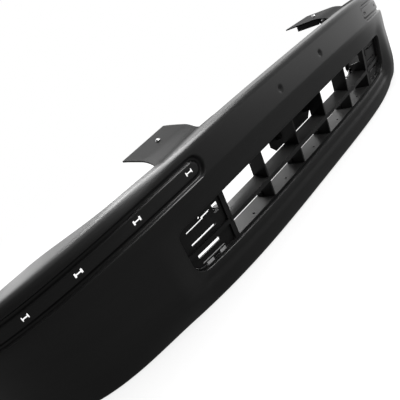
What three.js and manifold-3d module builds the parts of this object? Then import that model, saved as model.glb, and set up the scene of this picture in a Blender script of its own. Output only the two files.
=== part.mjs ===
// Front bumper cover with its lower grille, lamp-hole blanks, brackets and fasteners.
// Millimetres, +Z up, the front faces -Y, X runs across the vehicle.
import * as THREE from 'three';
import { mergeVertices } from 'three/addons/utils/BufferGeometryUtils.js';
import Module from 'manifold-3d';

const wasm = await Module();
wasm.setup();

// ---------------------------------------------------------------- driving dimensions

const HALF_WIDTH = 820; // centre line to the widest point of a wing
const PLAN_DEPTH = 480; // depth of the plan outline that the wings follow
const WING_REACH = 400; // how far the wings run back from the front face
const PLAN_POWER = 3.5; // squareness of the plan outline
const END_DROP = 72; // how much lower the top edge is at a wing than in the middle

const WALL = 3; // thickness of the cover
const GAP = 0.4; // clearance between neighbouring pieces

const TOP_Z = 282; // height of the top edge of the face
const FOOT_DEPTH = 22; // depth of the flat lower flange that the cover stands on
const FOOT_FRONT = 66; // how far the lower flange lies behind the front of the face
const WING_TUCK = 0.42; // share of that set-back which is left at the wings

const INTAKE_HALF = 459; // half width of the lower intake
const INTAKE_BOTTOM = 64;
const INTAKE_TOP = 171;
const INTAKE_LOW_RADIUS = 34;
const INTAKE_HIGH_RADIUS = 14;
const HEM_DEPTH = 24; // depth of the hem turned in around the intake

const BAND = TOP_Z - INTAKE_TOP; // height of the face above the intake
const CHANNEL_BELOW_TOP = 0.36 * BAND; // centre of the trim-strip channel below the top edge
const CHANNEL_HALF = 0.2 * BAND; // half height of the channel
const CHANNEL_GROOVE = 8; // depth of the two grooves along its borders
const CHANNEL_LAND = 4.5; // depth of the raised middle
const CHANNEL_START = 372; // centre of the channel's round inner end
const SLOT_AT = [382, 502, 612, 697]; // slots for the trim strip's clips
const SLOT_LENGTH = 16;
const SLOT_WIDTH = 3;
const SLOT_HEAD = 7; // height of a slot's two ends
const SLOT_FOOT = 3.5; // and their length

const DIMPLE_HALF = 89; // number-plate dimples, centre line to centre
const DIMPLE_RADIUS = 7;

const TOWER_INNER = 273; // inner top corner of the mounting tower
const TOWER_OUTER = 396; // outer tip
const TOWER_REACH = 162; // depth of the tower's top edge
const TOWER_RISE = 17; // height of the tower's top edge above the top edge of the face
const TOWER_HOLE = 4;

const FIN_PITCH = Math.round(INTAKE_HALF / 3.5); // spacing of the grille's upright fins
const FIN_COUNT = 6;
const FIN_THICK = 4;
const POST_THICK = 12; // the two end fins, beside the blanks
const GRILLE_DEPTH = 44;
const GRILLE_WALL = 3;
const BAR_LOW = 103; // lower edge of the grille's cross bar
const BAR_FRONT = 9; // height of its front face
const BAR_RISE = 13; // how much its top face climbs towards the back

const SCREW_HEAD = 5.5;
const SCREW_HEAD_HEIGHT = 3.2;
const SCREW_SHANK = 2.1;
const SCREW_HOLE = 2.8;

// ---------------------------------------------------------------- the plan outline

// The plan outline is a superellipse: |x/W|^n + ((D-y)/D)^2 = 1, walked by an angle.
function planCurve() {
  const last = Math.acos(1 - WING_REACH / PLAN_DEPTH);
  const points = [];
  const steps = 60;
  for (let i = -steps; i <= steps; i += 1) {
    const angle = (i / steps) * last;
    const x = Math.sign(angle) * HALF_WIDTH * Math.abs(Math.sin(angle)) ** (2 / PLAN_POWER);
    points.push(new THREE.Vector2(x, PLAN_DEPTH * (1 - Math.cos(angle))));
  }
  const curve = new THREE.SplineCurve(points);
  curve.arcLengthDivisions = 1200;
  return curve;
}

const PLAN = planCurve();
const HALF_LENGTH = PLAN.getLength() / 2;

// A station s is a length along the plan outline, counted from the centre line.
const stationCache = new Map();
function station(s) {
  if (!stationCache.has(s)) {
    const u = THREE.MathUtils.clamp(0.5 + s / (2 * HALF_LENGTH), 0, 1);
    const point = PLAN.getPointAt(u);
    const tangent = PLAN.getTangentAt(u);
    stationCache.set(s, { x: point.x, y: point.y, nx: -tangent.y, ny: tangent.x });
  }
  return stationCache.get(s);
}

// The station whose outline point lies at x, by bisection.
function stationAt(x) {
  let low = 0;
  let high = HALF_LENGTH;
  for (let i = 0; i < 40; i += 1) {
    const middle = (low + high) / 2;
    if (station(middle).x < Math.abs(x)) low = middle;
    else high = middle;
  }
  return Math.sign(x) * Number(((low + high) / 2).toFixed(3));
}

// The upper part of the cover bows down towards the wings; the lower edge stays level.
function drop(x, z) {
  const share = THREE.MathUtils.clamp((z - INTAKE_BOTTOM) / (INTAKE_TOP - INTAKE_BOTTOM), 0, 1);
  return END_DROP * (Math.abs(x) / HALF_WIDTH) ** 3 * share;
}

// A point at a station, a depth behind the outline and a height.
function place(s, depth, z) {
  const at = station(s);
  const y = at.y + at.ny * depth;
  return new THREE.Vector3(at.x + at.nx * depth, y, z - drop(at.x, z));
}

// The intake's plane leans: its lower edge lies further back than its upper edge.
function leanDepth(z) {
  return THREE.MathUtils.mapLinear(z, INTAKE_BOTTOM, INTAKE_TOP, 50, 24);
}

// The direction square to the leaning intake plane, pointing out of the front.
function outward(s) {
  const at = station(s);
  const slope = (leanDepth(INTAKE_BOTTOM) - leanDepth(INTAKE_TOP)) / (INTAKE_TOP - INTAKE_BOTTOM);
  return new THREE.Vector3(-at.nx, -at.ny, -slope).normalize();
}

// ---------------------------------------------------------------- from geometry to solid

function bend(geometry, rule) {
  const position = geometry.attributes.position;
  for (let i = 0; i < position.count; i += 1) {
    const bent = rule(position.getX(i), position.getY(i), position.getZ(i));
    position.setXYZ(i, bent.x, bent.y, bent.z);
  }
  return geometry;
}

function solid(geometry) {
  const bare = geometry.clone();
  bare.deleteAttribute('normal');
  bare.deleteAttribute('uv');
  const merged = mergeVertices(bare, 1e-4);
  return new wasm.Manifold(new wasm.Mesh({
    numProp: 3,
    vertProperties: new Float32Array(merged.attributes.position.array),
    triVerts: new Uint32Array(merged.index.array),
  }));
}

function join(pieces) {
  return pieces.reduce((whole, piece) => whole.add(piece));
}

function cut(whole, tools) {
  return tools.reduce((rest, tool) => rest.subtract(tool), whole);
}

const cover = new THREE.Group();

function addMesh(name, geometry, { color, roughness, metalness = 0 }) {
  geometry.computeVertexNormals();
  const material = new THREE.MeshStandardMaterial({ color, roughness, metalness });
  const mesh = new THREE.Mesh(geometry, material);
  mesh.name = name;
  cover.add(mesh);
}

function geometryOf(shape) {
  const data = shape.getMesh();
  const geometry = new THREE.BufferGeometry();
  geometry.setAttribute('position', new THREE.BufferAttribute(data.vertProperties, 3));
  geometry.setIndex(new THREE.BufferAttribute(data.triVerts, 1));
  return geometry;
}

function addPart(name, shape, look) {
  addMesh(name, geometryOf(shape), look);
}

// A piece for the right-hand side and its mirror image for the left.
function addPair(name, shape, look) {
  addMesh(`${name}_right`, geometryOf(shape), look);
  const mirrored = geometryOf(shape).scale(-1, 1, 1);
  const order = mirrored.index.array;
  for (let i = 0; i < order.length; i += 3) [order[i], order[i + 1]] = [order[i + 1], order[i]];
  addMesh(`${name}_left`, mirrored, look);
}

// A slab that follows the plan outline. low and high give its lower and upper edge at a
// station, and the depths are behind the leaning intake plane.
function slab(stations, low, high, d0, d1) {
  const count = stations.length - 1;
  const box = new THREE.BoxGeometry(count, 1, 1, count, 1, 1);
  box.translate(count / 2, 0.5, 0.5);
  return solid(bend(box, (i, t, h) => {
    const s = stations[Math.round(i)];
    const z = THREE.MathUtils.lerp(low(s), high(s), h);
    return place(s, leanDepth(z) + THREE.MathUtils.lerp(d0, d1, t), z);
  }));
}

function evenStations(s0, s1, longest = 50) {
  const count = Math.max(1, Math.ceil(Math.abs(s1 - s0) / longest));
  return Array.from({ length: count + 1 }, (_, i) => THREE.MathUtils.lerp(s0, s1, i / count));
}

// A slab with a plain rectangular front.
function curvedBox(sa, sb, d0, d1, z0, z1) {
  return slab(evenStations(Math.min(sa, sb), Math.max(sa, sb)), () => z0, () => z1, d0, d1);
}

// How far a rounded corner stands in from a straight edge, near the end of a span.
function cornerRise(s, half, radius) {
  const beyond = THREE.MathUtils.clamp(Math.abs(s) - half + radius, 0, radius);
  return radius - Math.sqrt(radius ** 2 - beyond ** 2);
}

// The intake's outline, smaller by an inset, as a slab. Its lower corners are rounder.
function intakeSlab(inset, d0, d1) {
  const half = INTAKE_HALF - inset;
  const lowRadius = INTAKE_LOW_RADIUS - inset;
  const highRadius = INTAKE_HIGH_RADIUS - inset;
  const straight = half - lowRadius;
  const around = [18, 38, 58, 76, 90].map((degrees) => Math.sin(THREE.MathUtils.degToRad(degrees)));
  const ends = around.map((share) => straight + lowRadius * share);
  const stations = [...ends.map((s) => -s).reverse(), ...evenStations(-straight, straight, 40), ...ends];
  const low = (s) => INTAKE_BOTTOM + inset + cornerRise(s, half, lowRadius);
  const high = (s) => INTAKE_TOP - inset - cornerRise(s, half, highRadius);
  return slab(stations, low, high, d0, d1);
}

// ---------------------------------------------------------------- the moulded cover

const CHANNEL_Z = TOP_Z - CHANNEL_BELOW_TOP;

// Depth of the trim-strip channel: two grooves, a raised middle and a round inner end.
function channelDepth(s, z) {
  const beyond = Math.max(0, CHANNEL_START - Math.abs(s));
  const across = CHANNEL_HALF - Math.hypot(beyond, z - CHANNEL_Z);
  if (across <= 0) return 0;
  if (across < 9) return Math.min(CHANNEL_GROOVE, (CHANNEL_GROOVE * across) / 3);
  const land = THREE.MathUtils.clamp((across - 9) / 3, 0, 1);
  return THREE.MathUtils.lerp(CHANNEL_GROOVE, CHANNEL_LAND, land);
}

// How far back the top shelf runs at a station: narrow except under the lamps' outer ends.
const SHELF_NARROW = 30;
const SHELF_WIDE = 105;
const SHELF_END = 34;
const SHELF_SPAN = [500, 740, 790, 920]; // it widens over the first two, narrows over the others

function shelfDepth(s) {
  const [a, b, c, d] = SHELF_SPAN;
  const x = Math.abs(s);
  if (x > b) return THREE.MathUtils.lerp(SHELF_WIDE, SHELF_END, THREE.MathUtils.smoothstep(x, c, d));
  return THREE.MathUtils.lerp(SHELF_NARROW, SHELF_WIDE, THREE.MathUtils.smoothstep(x, a, b));
}

// The section of the cover from its foot to the back of its shelf, as (depth, height).
// The middle has a rolled lip under the intake; the corners are fuller and smoother.
function section(s) {
  const tuck = THREE.MathUtils.lerp(1, WING_TUCK, THREE.MathUtils.smoothstep(Math.abs(s), 500, 740));
  const half = THREE.MathUtils.lerp(INTAKE_BOTTOM, INTAKE_TOP, 0.505);
  const [brow, chin] = [0.43, 0.8].map((share) => (
    THREE.MathUtils.lerp(INTAKE_TOP, CHANNEL_Z - CHANNEL_HALF, share)
  ));
  const middle = [[FOOT_FRONT, 0], [57, 4], [49, 24], [46, 36], [50, 49], [47, 57],
    [50, INTAKE_BOTTOM], [38, half], [24, INTAKE_TOP], [12, brow], [4, chin]];
  const corner = [[FOOT_FRONT, 0], [56, 4], [43, 24], [37, 36], [32, 49], [29, 57],
    [27, INTAKE_BOTTOM], [19, half], [12, INTAKE_TOP], [7, brow], [3, chin]].map(([d, z]) => [d * tuck, z]);
  middle.unshift([FOOT_FRONT + FOOT_DEPTH, 0]);
  corner.unshift([FOOT_FRONT * tuck + FOOT_DEPTH, 0]);
  const face = [-1, -0.84, -0.45, 0, 0.45, 0.84, 1].map((t) => [1.5, CHANNEL_Z + t * CHANNEL_HALF]);
  const back = shelfDepth(s);
  const above = (points) => points.map(([depth, z]) => [depth, TOP_Z + z]);
  const edge = -0.1 * BAND;
  const middleTop = above([[1.5, edge], [4, 0.36 * edge], [9, -0.5], [16, 0], [back, 1]]);
  const cornerTop = above([[3, edge], [7, 0.36 * edge], [14, 1], [24, 3], [back, 4]]);
  const full = [...middle, ...face, ...middleTop];
  const round = [...corner, ...face, ...cornerTop];
  const lower = THREE.MathUtils.smoothstep(Math.abs(s), 432, 512);
  const upper = THREE.MathUtils.smoothstep(Math.abs(s), 375, 520);
  return full.map(([depth, z], i) => {
    const share = i < middle.length ? lower : upper;
    return new THREE.Vector2(
      THREE.MathUtils.lerp(depth, round[i][0], share),
      THREE.MathUtils.lerp(z, round[i][1], share),
    );
  });
}

// Stations of the cover's grid: close together where the surface changes quickly.
function coverStations() {
  const half = [0, 70, 140, 210, 265, 310];
  for (const degrees of [0, 35, 60, 90]) {
    half.push(CHANNEL_START - CHANNEL_HALF * Math.cos(THREE.MathUtils.degToRad(degrees)));
  }
  half.push(400, 428, 452, 476);
  const corner = 506;
  half.push(...evenStations(corner, HALF_LENGTH, 42));
  return [...half.slice(1).reverse().map((s) => -s), ...half];
}

// A slab bent to the section and the plan outline, from one depth under the face to another.
function coverSlab(from, to) {
  const stations = coverStations();
  const sections = stations.map(section);
  const rows = sections[0].length;
  const columns = stations.length;
  const skin = (i, k) => {
    const column = THREE.MathUtils.clamp(i, 0, columns - 1);
    const at = sections[column][THREE.MathUtils.clamp(k, 0, rows - 1)];
    return place(stations[column], at.x, at.y);
  };
  const box = new THREE.BoxGeometry(columns - 1, 1, rows - 1, columns - 1, 1, rows - 1);
  box.translate((columns - 1) / 2, 0.5, (rows - 1) / 2);
  return solid(bend(box, (x, t, y) => {
    const i = Math.round(x);
    const k = Math.round(y);
    const along = skin(i + 1, k).sub(skin(i - 1, k));
    const up = skin(i, k + 1).sub(skin(i, k - 1));
    const inward = up.cross(along).normalize();
    const recess = channelDepth(stations[i], sections[i][k].y);
    return skin(i, k).addScaledVector(inward, recess + THREE.MathUtils.lerp(from, to, t));
  }));
}

// The hem: a wall of the cover's thickness, turned in around the intake.
function hem() {
  return intakeSlab(-WALL, 1, HEM_DEPTH).subtract(intakeSlab(0, -4, HEM_DEPTH + 4));
}

// A clip slot: a narrow slit with a crosswise foot at each end, cut along the depth.
function clipSlot(x, side) {
  const [end, half, head] = [SLOT_LENGTH / 2, SLOT_WIDTH / 2, SLOT_HEAD / 2];
  const neck = end - SLOT_FOOT;
  const lower = [[-end, -head], [-neck, -head], [-neck, -half], [neck, -half], [neck, -head], [end, -head]];
  const upper = lower.map(([u, z]) => [-u, -z]);
  const shape = new THREE.Shape([...lower, ...upper].map(([u, z]) => new THREE.Vector2(u, z)));
  const s = stationAt(x);
  const body = new THREE.ExtrudeGeometry(shape, { depth: 60, bevelEnabled: false });
  bend(body, (u, z, d) => place(rounded(s + u), 40 - d, CHANNEL_Z + z));
  return solid(mirrorAlong(body, side));
}

// The wheel arch that trims the back of both wings.
const ARCH_RADIUS = 330;
const ARCH_Y = WING_REACH + 300;
const ARCH_Z = 60;

function archCylinder(radius) {
  const body = new THREE.CylinderGeometry(radius, radius, 2 * HALF_WIDTH + 100, 48);
  body.rotateZ(Math.PI / 2).translate(0, ARCH_Y, ARCH_Z);
  return solid(body);
}

// The towers are flat panels that rise from the back of the shelf. A point in a tower's
// plane has a place along it, a distance up its slope and a depth under its face.
const TOWER_FOOT = 28;
const TOWER_LIFT = 3.4; // so that the whole panel lies above the shelf's surface
const TOWER_RUN = TOWER_REACH - TOWER_FOOT;

function towerAxes() {
  const inner = place(stationAt(TOWER_INNER), TOWER_FOOT, TOP_Z + TOWER_LIFT);
  const outer = place(stationAt(TOWER_OUTER), TOWER_FOOT, TOP_Z + TOWER_LIFT);
  const along = outer.clone().sub(inner).normalize();
  const slope = new THREE.Vector3(0, TOWER_RUN, TOWER_RISE);
  const normal = along.clone().cross(slope).normalize();
  return { inner, along, up: normal.clone().cross(along), normal };
}

const TOWER = towerAxes();

function towerPlace(x, e, w) {
  return TOWER.inner.clone()
    .addScaledVector(TOWER.along, x - TOWER_INNER)
    .addScaledVector(TOWER.up, e)
    .addScaledVector(TOWER.normal, -w);
}

// The panel narrows to a neck and sweeps out into the shelf on both sides.
function towerPanel(side) {
  const shape = new THREE.Shape();
  shape.moveTo(TOWER_INNER - 27, -5);
  shape.quadraticCurveTo(TOWER_INNER + 15, 3, TOWER_INNER + 17, 27);
  shape.lineTo(TOWER_INNER, TOWER_RUN);
  shape.lineTo(TOWER_OUTER, TOWER_RUN - 8);
  shape.lineTo(TOWER_OUTER + 3, TOWER_RUN / 2);
  shape.quadraticCurveTo(TOWER_OUTER + 8, 32, TOWER_OUTER + 28, 0);
  shape.lineTo(TOWER_OUTER + 30, -5);
  const body = new THREE.ExtrudeGeometry(shape, { depth: WALL, bevelEnabled: false, curveSegments: 6 });
  return solid(mirrorAlong(bend(body, (x, e, w) => towerPlace(x, e, WALL - w)), side));
}

// A copy on the other side: X changes sign and every face is turned round.
function mirrorAlong(geometry, side) {
  if (side > 0) return geometry;
  const flipped = geometry.index ? geometry.toNonIndexed() : geometry;
  bend(flipped, (x, y, z) => new THREE.Vector3(-x, y, z));
  const p = flipped.attributes.position;
  for (let i = 0; i < p.count; i += 3) {
    const [x, y, z] = [p.getX(i), p.getY(i), p.getZ(i)];
    p.setXYZ(i, p.getX(i + 1), p.getY(i + 1), p.getZ(i + 1));
    p.setXYZ(i + 1, x, y, z);
  }
  return flipped;
}

const DOWN = new THREE.Vector3(0, 0, -1);

// A solid cylinder from a point along a direction.
function rod(from, direction, radius, length, sides = 8) {
  const body = new THREE.CylinderGeometry(radius, radius, length, sides);
  body.translate(0, length / 2, 0);
  body.applyQuaternion(new THREE.Quaternion().setFromUnitVectors(new THREE.Vector3(0, 1, 0), direction));
  body.translate(from.x, from.y, from.z);
  return solid(body);
}

// A pan-head screw whose head's flat underside lies on the given point.
function screw(name, seat, direction, length) {
  const profile = [[0, -SCREW_HEAD_HEIGHT], [SCREW_HEAD * 0.7, -SCREW_HEAD_HEIGHT * 0.8],
    [SCREW_HEAD, 0], [SCREW_SHANK, 0],
    [SCREW_SHANK, length - 2], [0, length]].map(([r, y]) => new THREE.Vector2(r, y));
  const body = new THREE.LatheGeometry(profile, 8);
  body.applyQuaternion(new THREE.Quaternion().setFromUnitVectors(new THREE.Vector3(0, 1, 0), direction));
  const at = seat.clone().addScaledVector(direction, -GAP);
  body.translate(at.x, at.y, at.z);
  addPart(name, solid(body), { color: 0x6f7275, roughness: 0.35, metalness: 0.9 });
}

// Where the screws stand. Those around the intake go through the hem into the grille.
const HEM_SCREW_DEPTH = 17;
const HEM_TOP_AT = [0, FIN_PITCH, 2 * FIN_PITCH, INTAKE_HALF - 61];
const HEM_BOTTOM_AT = [0, FIN_PITCH, 2 * FIN_PITCH, INTAKE_HALF - 67];
const bySide = (side, a, b) => (side > 0 ? [a, b] : [-b, -a]);
const rounded = (s) => Number(s.toFixed(3)); // so that the same station is found again
const bothSides = (list) => list.flatMap((x) => (x === 0 ? [0] : [-x, x]));

function hemSeats() {
  const top = bothSides(HEM_TOP_AT).map((s) => ({
    name: 'top', at: place(s, leanDepth(INTAKE_TOP) + HEM_SCREW_DEPTH, INTAKE_TOP + WALL), way: DOWN,
  }));
  const bottom = bothSides(HEM_BOTTOM_AT).map((s) => ({
    name: 'bottom',
    at: place(s, leanDepth(INTAKE_BOTTOM) + HEM_SCREW_DEPTH, INTAKE_BOTTOM - WALL),
    way: DOWN.clone().negate(),
  }));
  return [...top, ...bottom];
}

const BRACE_SCREW = { s: (TOWER_INNER + TOWER_OUTER) / 2, e: 0.6 * TOWER_RUN };
const RETAINER_FROM = 780;
const RETAINER_TO = 930;
const RETAINER_AT = [800, 855, 910];
const RETAINER_SCREW_DEPTH = 25;
const RETAINER_SEAT_Z = TOP_Z + 3.8; // the shelf's own height there

function retainerSeat(side, s) {
  return place(side * s, RETAINER_SCREW_DEPTH, RETAINER_SEAT_Z);
}

function towerSeat(side) {
  const seat = towerPlace(BRACE_SCREW.s, BRACE_SCREW.e, 0);
  return new THREE.Vector3(side * seat.x, seat.y, seat.z);
}

function coverShell() {
  let shell = join([coverSlab(0, WALL), hem()]);
  shell = shell.subtract(intakeSlab(0, -60, HEM_DEPTH + 4));
  shell = join([shell, towerPanel(1), towerPanel(-1)]);
  const flange = archCylinder(ARCH_RADIUS + WALL).subtract(archCylinder(ARCH_RADIUS));
  shell = join([shell, coverSlab(1, 15).intersect(flange)]);
  const holes = hemSeats().map(({ at, way }) => (
    rod(at.clone().addScaledVector(way, -8), way, SCREW_HOLE, 14)
  ));
  for (const side of [-1, 1]) {
    for (const x of SLOT_AT) holes.push(clipSlot(x, side));
    holes.push(rod(towerSeat(side).add(new THREE.Vector3(0, 0, 9)), DOWN, TOWER_HOLE, 18));
    for (const s of RETAINER_AT) {
      holes.push(rod(retainerSeat(side, s).addScaledVector(DOWN, -8), DOWN, SCREW_HOLE, 16));
    }
    const dimple = new THREE.SphereGeometry(DIMPLE_RADIUS, 12, 8);
    const at = place(stationAt(side * DIMPLE_HALF), -4.5, CHANNEL_Z);
    holes.push(solid(dimple.translate(at.x, at.y, at.z)));
  }
  return cut(shell, [...holes, archCylinder(ARCH_RADIUS)]);
}

addPart('bumper_cover', coverShell(), { color: 0x1b1c1e, roughness: 0.5 });

// ---------------------------------------------------------------- the lower grille

const GRILLE_FRONT = 6;
const GRILLE_BACK = GRILLE_FRONT + GRILLE_DEPTH;
const POST_AT = (FIN_PITCH * (FIN_COUNT - 1)) / 2 + POST_THICK / 2;
const FRAME_LOW = INTAKE_BOTTOM + GAP;
const FRAME_HIGH = INTAKE_TOP - GAP;
const BAR_DEPTH = 30;
const RIB_DEPTH = 5;
const SILL_RISE = 9;
const PANEL_BOSS_Z = 148;
const PANEL_DEPTH = 62;

// The cross bar is a blade: a short front face and a top that climbs to the back. Beyond
// the posts only its front face goes on, as a rib before each blank.
function crossBar() {
  const blade = new THREE.BoxGeometry(2 * POST_AT, BAR_DEPTH, BAR_FRONT, 16, 1, 1);
  blade.translate(0, GRILLE_FRONT + BAR_DEPTH / 2, BAR_LOW + BAR_FRONT / 2);
  const middle = solid(bend(blade, (s, d, z) => {
    const back = (d - GRILLE_FRONT) / BAR_DEPTH;
    const climb = z > BAR_LOW + 1 ? BAR_RISE : BAR_RISE + BAR_FRONT - GRILLE_WALL;
    return place(rounded(s), leanDepth(z) + d, z + back * climb);
  }));
  const end = INTAKE_HALF - GAP - GRILLE_WALL + 1;
  const start = POST_AT + POST_THICK / 2 - 1;
  const ribs = [-1, 1].map((side) => curvedBox(
    side * start, side * end, GRILLE_FRONT, GRILLE_FRONT + RIB_DEPTH, BAR_LOW, BAR_LOW + BAR_FRONT,
  ));
  return join([middle, ...ribs]);
}

// The sill behind the lower lip climbs towards the back, like the blade.
function sill() {
  const ramp = new THREE.BoxGeometry(2 * POST_AT, GRILLE_DEPTH - 1, 4, 16, 1, 1);
  ramp.translate(0, GRILLE_FRONT + GRILLE_DEPTH / 2, FRAME_LOW + 3);
  return solid(bend(ramp, (s, d, z) => {
    const back = (d - GRILLE_FRONT) / GRILLE_DEPTH;
    const climb = z > FRAME_LOW + 3 ? SILL_RISE * back : 0;
    return place(rounded(s), leanDepth(z) + d, z + climb);
  }));
}

function fin(s, thick) {
  const [a, b] = [s - thick / 2, s + thick / 2];
  return curvedBox(a, b, GRILLE_FRONT + 1, GRILLE_BACK - 6, FRAME_LOW + 1, FRAME_HIGH - 1);
}

// A foot at the bottom and a clip bump at the top of a fin, both at its back.
function finFoot(s, thick) {
  const [foot, bump] = [thick / 2 + 3, thick / 2 + 2];
  return [
    curvedBox(s - foot, s + foot, GRILLE_BACK - 14, GRILLE_BACK, FRAME_LOW + 2, FRAME_LOW + 20),
    curvedBox(s - bump, s + bump, GRILLE_BACK - 12, GRILLE_BACK, FRAME_HIGH - 14, FRAME_HIGH - 1),
  ];
}

const PANEL_THICK = 2.5;
const GUSSET_LOW = 136;
const PANEL_WAY = outward(FIN_PITCH / 2).setX(0).normalize();

function panelSeat(side) {
  return place(side * (FIN_PITCH / 2), leanDepth(PANEL_BOSS_Z) + PANEL_DEPTH + PANEL_THICK, PANEL_BOSS_Z);
}

function grille() {
  const frame = intakeSlab(GAP, GRILLE_FRONT, GRILLE_BACK)
    .subtract(intakeSlab(GAP + GRILLE_WALL, GRILLE_FRONT - 2, GRILLE_BACK + 2));
  const pieces = [frame, crossBar(), sill()];
  for (let i = 1; i < FIN_COUNT - 1; i += 1) {
    const s = (i - (FIN_COUNT - 1) / 2) * FIN_PITCH;
    pieces.push(fin(s, FIN_THICK), ...finFoot(s, FIN_THICK));
  }
  for (const side of [-1, 1]) {
    pieces.push(fin(side * POST_AT, POST_THICK));
    const gusset = side * (FIN_PITCH / 2);
    const [a, b] = [gusset - FIN_THICK / 2, gusset + FIN_THICK / 2];
    pieces.push(curvedBox(a, b, GRILLE_BACK - 12, PANEL_DEPTH - GAP, GUSSET_LOW, FRAME_HIGH - 1));
    pieces.push(rod(panelSeat(side).addScaledVector(PANEL_WAY, PANEL_THICK + 2 * GAP), PANEL_WAY, 5, 16));
  }
  const holes = hemSeats().map(({ at, way }) => rod(at, way, SCREW_HOLE, 16));
  for (const side of [-1, 1]) {
    holes.push(rod(panelSeat(side), PANEL_WAY, SCREW_HOLE, 17));
    const way = outward(side * POST_AT);
    for (const z of BLANK_SCREW_Z) holes.push(rod(blankSeat(side, z), way, SCREW_HOLE, 17));
    const [a, b] = bySide(side, POST_AT - POST_THICK, POST_AT + POST_THICK);
    holes.push(curvedBox(a, b, GRILLE_FRONT + 14, GRILLE_BACK, NOTCH_LOW, NOTCH_HIGH));
  }
  return cut(join(pieces), holes);
}

// ---------------------------------------------------------------- the lamp-hole blanks

const BLANK_INNER = POST_AT + POST_THICK / 2 + GAP;
const BLANK_OUTER = INTAKE_HALF - 2 * GAP - GRILLE_WALL;
const BLANK_FRONT = GRILLE_FRONT + RIB_DEPTH + GAP; // the plate sits behind the rib
const BLANK_THICK = 2.6;
const BLANK_SCREW_Z = [93, 125];
const EAR_HALF = 8;
const NOTCH_LOW = 141; // the notch beside the post
const NOTCH_HIGH = 160;
const FOOT_GAP = 4; // the plate's lower edge stands this much above the frame
const SLITS = [ // distance from the inner and the outer end, lower edge, height
  [48, 20, 152, 3], [28, 62, 154.5, 3.5], [26, 20, 123, 4], [33, 22, 90, 8], [26, 26, 74.5, 3],
];
const BACK_RIBS = [84, 104, 137]; // lower edges of the stiffening ribs behind the plate
const FEET = [ // spans of the feet
  [BLANK_INNER + 1, BLANK_INNER + 26], [BLANK_OUTER - 72, BLANK_OUTER - 53], [BLANK_OUTER - 34, BLANK_OUTER],
];
const PIN_HOLE = { s: BLANK_OUTER - 58, z: 161.5, radius: 2.5 };
const EASE = 0.5; // the joined walls stand in from each other's faces

function blankSeat(side, z) {
  return place(side * POST_AT, leanDepth(z) + GRILLE_BACK + GAP + BLANK_THICK, z);
}

// A plate with slits that stands on feet, a wall back along the post, and two ears behind
// the post that the screws hold. The clear bay inside the grille's frame trims it.
function blank() {
  const plateLow = FRAME_LOW + GRILLE_WALL + GAP + FOOT_GAP;
  const plateBack = BLANK_FRONT + BLANK_THICK;
  const rear = GRILLE_BACK + GAP + BLANK_THICK;
  const wall = BLANK_INNER + BLANK_THICK;
  const pieces = [
    curvedBox(BLANK_INNER, BLANK_OUTER + 1, BLANK_FRONT, plateBack, plateLow, INTAKE_TOP),
    curvedBox(BLANK_INNER + EASE, wall + EASE, BLANK_FRONT + EASE, rear - EASE, plateLow + 1, NOTCH_LOW - 2),
  ];
  for (const [s0, s1] of FEET) {
    pieces.push(curvedBox(s0, s1, BLANK_FRONT + EASE, plateBack - EASE, INTAKE_BOTTOM, plateLow + 1));
  }
  for (const z of BACK_RIBS) {
    pieces.push(curvedBox(BLANK_INNER + 1, BLANK_OUTER - 14, BLANK_FRONT + 1, BLANK_FRONT + 12, z, z + 2.5));
  }
  const way = outward(POST_AT);
  const earStart = POST_AT - POST_THICK / 2 + 1;
  for (const z of BLANK_SCREW_Z) {
    pieces.push(curvedBox(earStart, wall, rear - BLANK_THICK, rear, z - EAR_HALF, z + EAR_HALF));
  }
  const holes = SLITS.map(([fromInner, fromOuter, z, height]) => (
    curvedBox(BLANK_INNER + fromInner, BLANK_OUTER - fromOuter, 0, rear, z, z + height)
  ));
  holes.push(curvedBox(BLANK_INNER + 6, BLANK_INNER + 21, 0, rear, NOTCH_LOW, NOTCH_HIGH));
  const pin = place(PIN_HOLE.s, leanDepth(PIN_HOLE.z) + plateBack + 4, PIN_HOLE.z);
  holes.push(rod(pin, outward(PIN_HOLE.s), PIN_HOLE.radius, 14));
  for (const z of BLANK_SCREW_Z) {
    holes.push(rod(blankSeat(1, z).addScaledVector(way, -3), way, SCREW_HOLE, 9));
  }
  const bay = intakeSlab(2 * GAP + GRILLE_WALL, 0, rear + 10);
  return cut(join(pieces).intersect(bay), holes);
}

addPart('lower_grille', grille(), { color: 0x111213, roughness: 0.6 });
addPair('lamp_blank', blank(), { color: 0x0f1011, roughness: 0.65 });

// ---------------------------------------------------------------- brackets

const BRACE_FROM = TOWER_INNER + 24;
const BRACE_TO = TOWER_OUTER - 18;
const BRACE_THICK = 2.4;
const BRACE_RIB_HEIGHT = 15;
const BRACE_RIBS = [BRACE_FROM + 3, BRACE_FROM + 19, BRACE_TO - 16];
const RETAINER_HEIGHT = 22;
const PANEL_HALF = 92;
const PANEL_HOLE_AT = 40;
const PANEL_LOW = 116;

// The flat support panel behind the middle bays, with two locating holes.
function supportPanel() {
  const chamfer = 16;
  const stations = [-PANEL_HALF, -PANEL_HALF + chamfer, -30, 0, 30, PANEL_HALF - chamfer, PANEL_HALF];
  const low = (s) => PANEL_LOW + Math.max(0, Math.abs(s) - PANEL_HALF + chamfer);
  const made = slab(stations, low, () => FRAME_HIGH, PANEL_DEPTH, PANEL_DEPTH + PANEL_THICK);
  const holes = [-1, 1].flatMap((side) => [
    rod(panelSeat(side).addScaledVector(PANEL_WAY, -5), PANEL_WAY, SCREW_HOLE, 14),
    rod(place(side * PANEL_HOLE_AT, leanDepth(155) + PANEL_DEPTH + 8, 155), PANEL_WAY, 4.5, 16, 14),
  ]);
  return cut(made, holes);
}

addPart('centre_support_panel', supportPanel(), { color: 0x161718, roughness: 0.6 });

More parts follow.
